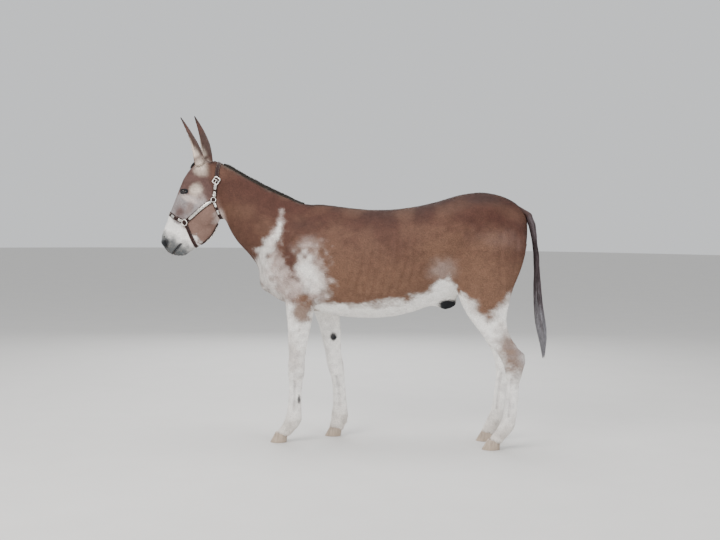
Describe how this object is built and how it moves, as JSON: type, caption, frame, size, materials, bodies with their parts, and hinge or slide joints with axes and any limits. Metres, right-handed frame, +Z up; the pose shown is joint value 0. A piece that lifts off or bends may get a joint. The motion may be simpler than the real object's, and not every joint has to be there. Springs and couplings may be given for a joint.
{
  "type": "mule",
  "caption": "Life-size standing mule in side pose with tall ears, clipped mane, thin tail and a leather show halter with bright fittings",
  "frame": {"origin": "on the floor, below the middle of the bounding box", "axes": "+X runs from nose to tail, so the animal faces -X; +Y is its right side; +Z is up"},
  "size_m": [2.4248, 0.5224, 2.0243],
  "materials": {
    "brown_coat": "short sorrel-brown coat",
    "white_coat": "short cream-white coat",
    "dark_hair": "coarse dark hair",
    "plum_hair": "coarse plum-brown hair",
    "horn": "dusty pale hoof horn",
    "eye": "wet dark eye",
    "leather": "oiled dark leather",
    "silver": "polished silver plate"
  },
  "bodies": {
    "root": {"head": "brown_coat", "neck": "brown_coat", "torso": "brown_coat", "ear_left": "brown_coat", "ear_right": "brown_coat", "foreleg_left": "white_coat", "foreleg_right": "white_coat", "hindleg_left": "white_coat", "hindleg_right": "white_coat", "hoof_fore_left": "horn", "hoof_fore_right": "horn", "hoof_hind_left": "horn", "hoof_hind_right": "horn", "eye_left": "eye", "eye_right": "eye", "tail": "plum_hair", "mane": "dark_hair", "forelock": "dark_hair", "halter": "leather", "ring_left": "silver", "ring_right": "silver", "buckle_left": "silver", "buckle_right": "silver"}
  },
  "joints": []
}
